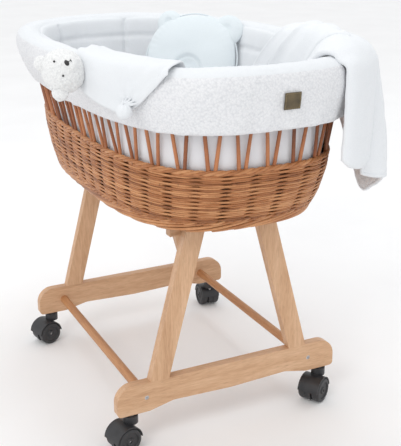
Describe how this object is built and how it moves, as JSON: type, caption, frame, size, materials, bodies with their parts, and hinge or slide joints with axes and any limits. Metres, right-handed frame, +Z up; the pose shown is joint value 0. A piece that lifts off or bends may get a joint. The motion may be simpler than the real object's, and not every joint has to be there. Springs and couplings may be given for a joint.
{
  "type": "bassinet on stand",
  "caption": "Wicker bassinet with padded textile bumper, mattress, pillow, blanket and comforter, resting on a beech stand with two end frames, stretcher dowels and swivel casters.",
  "frame": {"origin": "on the floor, under the middle of the stand's four casters", "axes": "+X along the basket towards its foot end, +Y towards the side where the blanket hangs, +Z up"},
  "size_m": [0.8814, 0.6244, 0.7495],
  "materials": {
    "beech": "clear matt lacquer",
    "beech_dowel": "clear matt lacquer",
    "steel": "zinc plated",
    "caster_plastic": "moulded, slightly glossy",
    "wheel_plastic": "moulded",
    "willow": "boiled willow, clear lacquer",
    "willow_rod": "boiled willow, clear lacquer",
    "cotton_sheet": "plain weave cotton",
    "mattress_ticking": "quilted cotton",
    "sherpa": "looped sherpa pile",
    "label": "bare leather patch",
    "minky": "smooth plush",
    "fleece": "brushed fleece",
    "velour": "smooth velour",
    "plush": "curly plush"
  },
  "bodies": {
    "stand": {"rail_foot_end": "beech", "rail_head_end": "beech", "leg_foot_left": "beech", "leg_foot_right": "beech", "leg_head_left": "beech", "leg_head_right": "beech", "bearer_foot_end": "beech", "bearer_head_end": "beech", "long_rail_left": "beech", "long_rail_right": "beech", "stretcher_dowel_left": "beech_dowel", "stretcher_dowel_right": "beech_dowel", "stretcher_bolts": "steel", "dowel_inserts": "steel", "frame_screws": "steel", "caster_sockets": "steel"},
    "caster_front_left": {"caster_front_left_housing": "caster_plastic", "caster_front_left_stem": "steel", "caster_front_left_axle": "steel"},
    "caster_front_left_wheel_inner": {"caster_front_left_wheel_inner": "wheel_plastic"},
    "caster_front_left_wheel_outer": {"caster_front_left_wheel_outer": "wheel_plastic"},
    "caster_front_right": {"caster_front_right_housing": "caster_plastic", "caster_front_right_stem": "steel", "caster_front_right_axle": "steel"},
    "caster_front_right_wheel_inner": {"caster_front_right_wheel_inner": "wheel_plastic"},
    "caster_front_right_wheel_outer": {"caster_front_right_wheel_outer": "wheel_plastic"},
    "caster_rear_left": {"caster_rear_left_housing": "caster_plastic", "caster_rear_left_stem": "steel", "caster_rear_left_axle": "steel"},
    "caster_rear_left_wheel_inner": {"caster_rear_left_wheel_inner": "wheel_plastic"},
    "caster_rear_left_wheel_outer": {"caster_rear_left_wheel_outer": "wheel_plastic"},
    "caster_rear_right": {"caster_rear_right_housing": "caster_plastic", "caster_rear_right_stem": "steel", "caster_rear_right_axle": "steel"},
    "caster_rear_right_wheel_inner": {"caster_rear_right_wheel_inner": "wheel_plastic"},
    "caster_rear_right_wheel_outer": {"caster_rear_right_wheel_outer": "wheel_plastic"},
    "basket": {"basket_foot_border": "willow", "basket_base": "willow", "basket_woven_wall": "willow", "basket_rim_border": "willow", "basket_upright_rods": "willow_rod", "cloth_liner": "cotton_sheet", "bumper": "sherpa", "label_patch": "label"},
    "mattress": {"mattress": "mattress_ticking"},
    "pillow": {"pillow": "minky"},
    "blanket": {"blanket": "fleece"},
    "toy": {"toy_cloth": "velour", "toy_head": "plush", "toy_knot": "velour"}
  },
  "joints": [
    {"name": "caster_front_left_swivel", "type": "hinge", "parent": "stand", "child": "caster_front_left", "pos_m": [0.25, -0.2066, 0.06], "axis": [0, 0, 1], "continuous": true},
    {"name": "caster_front_left_wheel_inner_roll", "type": "hinge", "parent": "caster_front_left", "child": "caster_front_left_wheel_inner", "pos_m": [0.25411, -0.22309, 0.025], "axis": [0.9703, 0.2419, 0], "continuous": true},
    {"name": "caster_front_left_wheel_outer_roll", "type": "hinge", "parent": "caster_front_left", "child": "caster_front_left_wheel_outer", "pos_m": [0.25411, -0.22309, 0.025], "axis": [0.9703, 0.2419, 0], "continuous": true},
    {"name": "caster_front_right_swivel", "type": "hinge", "parent": "stand", "child": "caster_front_right", "pos_m": [0.25, 0.2066, 0.06], "axis": [0, 0, 1], "continuous": true},
    {"name": "caster_front_right_wheel_inner_roll", "type": "hinge", "parent": "caster_front_right", "child": "caster_front_right_wheel_inner", "pos_m": [0.2585, 0.19188, 0.025], "axis": [0.866, 0.5, 0], "continuous": true},
    {"name": "caster_front_right_wheel_outer_roll", "type": "hinge", "parent": "caster_front_right", "child": "caster_front_right_wheel_outer", "pos_m": [0.2585, 0.19188, 0.025], "axis": [0.866, 0.5, 0], "continuous": true},
    {"name": "caster_rear_left_swivel", "type": "hinge", "parent": "stand", "child": "caster_rear_left", "pos_m": [-0.25, -0.2066, 0.06], "axis": [0, 0, 1], "continuous": true},
    {"name": "caster_rear_left_wheel_inner_roll", "type": "hinge", "parent": "caster_rear_left", "child": "caster_rear_left_wheel_inner", "pos_m": [-0.24531, -0.22294, 0.025], "axis": [0.9613, 0.2756, 0], "continuous": true},
    {"name": "caster_rear_left_wheel_outer_roll", "type": "hinge", "parent": "caster_rear_left", "child": "caster_rear_left_wheel_outer", "pos_m": [-0.24531, -0.22294, 0.025], "axis": [0.9613, 0.2756, 0], "continuous": true},
    {"name": "caster_rear_right_swivel", "type": "hinge", "parent": "stand", "child": "caster_rear_right", "pos_m": [-0.25, 0.2066, 0.06], "axis": [0, 0, 1], "continuous": true},
    {"name": "caster_rear_right_wheel_inner_roll", "type": "hinge", "parent": "caster_rear_right", "child": "caster_rear_right_wheel_inner", "pos_m": [-0.26693, 0.20808, 0.025], "axis": [-0.0872, -0.9962, 0], "continuous": true},
    {"name": "caster_rear_right_wheel_outer_roll", "type": "hinge", "parent": "caster_rear_right", "child": "caster_rear_right_wheel_outer", "pos_m": [-0.26693, 0.20808, 0.025], "axis": [-0.0872, -0.9962, 0], "continuous": true},
    {"name": "basket_lift", "type": "slide", "parent": "stand", "child": "basket", "axis": [0, 0, 1], "range_m": [0, 0.15]},
    {"name": "mattress_lift", "type": "slide", "parent": "basket", "child": "mattress", "axis": [0, 0, 1], "range_m": [0, 0.045]},
    {"name": "pillow_lift", "type": "slide", "parent": "mattress", "child": "pillow", "axis": [0, 0, 1], "range_m": [0, 0.15]},
    {"name": "blanket_lift", "type": "slide", "parent": "basket", "child": "blanket", "axis": [0, 0, 1], "range_m": [0, 0.3]},
    {"name": "toy_lift", "type": "slide", "parent": "basket", "child": "toy", "axis": [0, 0, 1], "range_m": [0, 0.15]}
  ]
}
